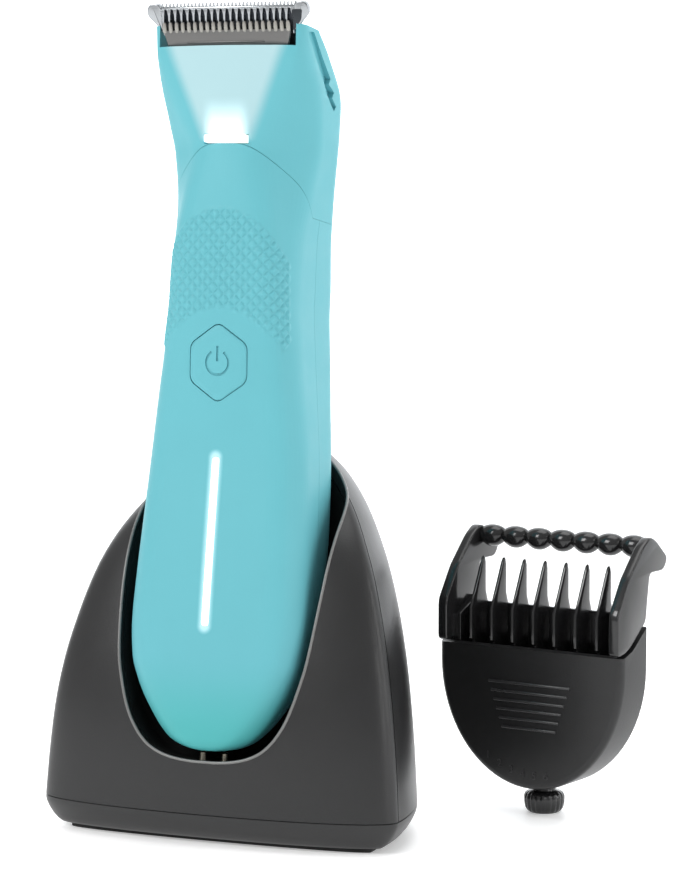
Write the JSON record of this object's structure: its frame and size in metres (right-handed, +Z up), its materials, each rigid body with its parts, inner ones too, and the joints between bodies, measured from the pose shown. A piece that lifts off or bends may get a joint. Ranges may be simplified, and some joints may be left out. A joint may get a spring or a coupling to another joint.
{
  "type": "body hair trimmer with charging stand and guide comb",
  "caption": "Cordless body hair trimmer leaning in a domed charging stand, with a light bar, a lit head, a toothed blade and a separate guide comb with a length dial.",
  "frame": {"origin": "middle of the stand's footprint, on the surface that it stands on", "axes": "+Z up, -Y out of the front with the power button, +X to the right as seen from the front"},
  "size_m": [0.1239, 0.082, 0.1803],
  "materials": {
    "stand_front_shell": "satin",
    "stand_rear_shell": "satin",
    "cradle_liner": "satin",
    "stand_base_plate": "satin",
    "base_sole": "matte",
    "ballast_plate": "brushed",
    "base_screw_1": "brushed",
    "base_screw_2": "brushed",
    "base_screw_3": "brushed",
    "base_screw_4": "brushed",
    "stand_circuit_board": "satin",
    "inlet_socket": "satin",
    "inlet_pin": "polished",
    "pin_holder": "satin",
    "front_cover": "satin",
    "rear_housing": "satin",
    "light_bar": "translucent, lit from behind",
    "led_lens": "translucent, lit from behind",
    "led_board": "satin",
    "button_switch": "satin",
    "main_circuit_board": "satin",
    "battery_cell": "printed sleeve, satin",
    "motor_can": "brushed",
    "motor_bracket": "satin",
    "neck_collar": "satin",
    "head_seal": "matte",
    "inner_chassis": "satin",
    "lower_screw": "brushed",
    "upper_screw": "brushed",
    "charge_contact_left": "polished",
    "charge_contact_right": "polished",
    "head_housing": "satin",
    "fixed_blade": "brushed",
    "blade_carrier": "satin",
    "blade_screw_left": "brushed",
    "blade_screw_right": "brushed",
    "blade_spring": "brushed",
    "moving_blade": "ground, warm tone",
    "drive_yoke": "satin",
    "motor_shaft": "brushed",
    "power_button": "satin",
    "charge_pin_left": "polished",
    "charge_pin_right": "polished",
    "comb_housing": "satin",
    "comb_back_cover": "satin",
    "detent_spring": "brushed",
    "selector_dial": "gloss",
    "dial_spindle": "brushed",
    "comb_teeth": "gloss"
  },
  "bodies": {
    "charging_stand": {"stand_front_shell": "stand_front_shell", "stand_rear_shell": "stand_rear_shell", "cradle_liner": "cradle_liner", "stand_base_plate": "stand_base_plate", "base_sole": "base_sole", "ballast_plate": "ballast_plate", "base_screw_1": "base_screw_1", "base_screw_2": "base_screw_2", "base_screw_3": "base_screw_3", "base_screw_4": "base_screw_4", "stand_circuit_board": "stand_circuit_board", "inlet_socket": "inlet_socket", "inlet_pin": "inlet_pin", "pin_holder": "pin_holder"},
    "trimmer_handle": {"front_cover": "front_cover", "rear_housing": "rear_housing", "light_bar": "light_bar", "led_lens": "led_lens", "led_board": "led_board", "button_switch": "button_switch", "main_circuit_board": "main_circuit_board", "battery_cell": "battery_cell", "motor_can": "motor_can", "motor_bracket": "motor_bracket", "neck_collar": "neck_collar", "head_seal": "head_seal", "inner_chassis": "inner_chassis", "lower_screw": "lower_screw", "upper_screw": "upper_screw", "charge_contact_left": "charge_contact_left", "charge_contact_right": "charge_contact_right"},
    "cutting_head": {"head_housing": "head_housing", "fixed_blade": "fixed_blade", "blade_carrier": "blade_carrier", "blade_screw_left": "blade_screw_left", "blade_screw_right": "blade_screw_right", "blade_spring": "blade_spring"},
    "moving_cutter": {"moving_blade": "moving_blade", "drive_yoke": "drive_yoke"},
    "motor_rotor": {"motor_shaft": "motor_shaft"},
    "button_cap": {"power_button": "power_button"},
    "left_pin": {"charge_pin_left": "charge_pin_left"},
    "right_pin": {"charge_pin_right": "charge_pin_right"},
    "guide_comb": {"comb_housing": "comb_housing", "comb_back_cover": "comb_back_cover", "detent_spring": "detent_spring"},
    "length_dial": {"selector_dial": "selector_dial", "dial_spindle": "dial_spindle"},
    "comb_slider": {"comb_teeth": "comb_teeth"}
  },
  "joints": [
    {"name": "trimmer_lift", "type": "slide", "parent": "charging_stand", "child": "trimmer_handle", "axis": [0, 0.1392, 0.9903], "range_m": [0, 0.12]},
    {"name": "head_pull", "type": "slide", "parent": "trimmer_handle", "child": "cutting_head", "axis": [0, 0.1392, 0.9903], "range_m": [0, 0.03]},
    {"name": "cutter_slide", "type": "slide", "parent": "cutting_head", "child": "moving_cutter", "axis": [1, 0, 0], "range_m": [-0.0008, 0.0008]},
    {"name": "motor_spin", "type": "hinge", "parent": "trimmer_handle", "child": "motor_rotor", "pos_m": [0, -0.00346, 0.13067], "axis": [0, 0.1392, 0.9903], "continuous": true},
    {"name": "power_button_press", "type": "slide", "parent": "trimmer_handle", "child": "button_cap", "axis": [0, 0.9903, -0.1392], "range_m": [0, 0.0008], "stiffness_N_per_m": 600},
    {"name": "left_pin_press", "type": "slide", "parent": "charging_stand", "child": "left_pin", "axis": [0, -0.1392, -0.9903], "range_m": [0, 0.0008], "stiffness_N_per_m": 300},
    {"name": "right_pin_press", "type": "slide", "parent": "charging_stand", "child": "right_pin", "axis": [0, -0.1392, -0.9903], "range_m": [0, 0.0008], "stiffness_N_per_m": 300},
    {"name": "comb_lift", "type": "slide", "parent": "charging_stand", "child": "guide_comb", "axis": [0, 0, 1], "range_m": [0, 0.05]},
    {"name": "selector_dial_turn", "type": "hinge", "parent": "guide_comb", "child": "length_dial", "pos_m": [0.0566, 0.031, 0.005], "axis": [0, 0, 1], "range_deg": [0, 271]},
    {"name": "comb_length", "type": "slide", "parent": "guide_comb", "child": "comb_slider", "axis": [0, 0, 1], "range_m": [0, 0.009]}
  ],
  "couplings": [
    {"joint": "selector_dial_turn", "follows": "comb_length", "rad_per_m": 523.6}
  ]
}
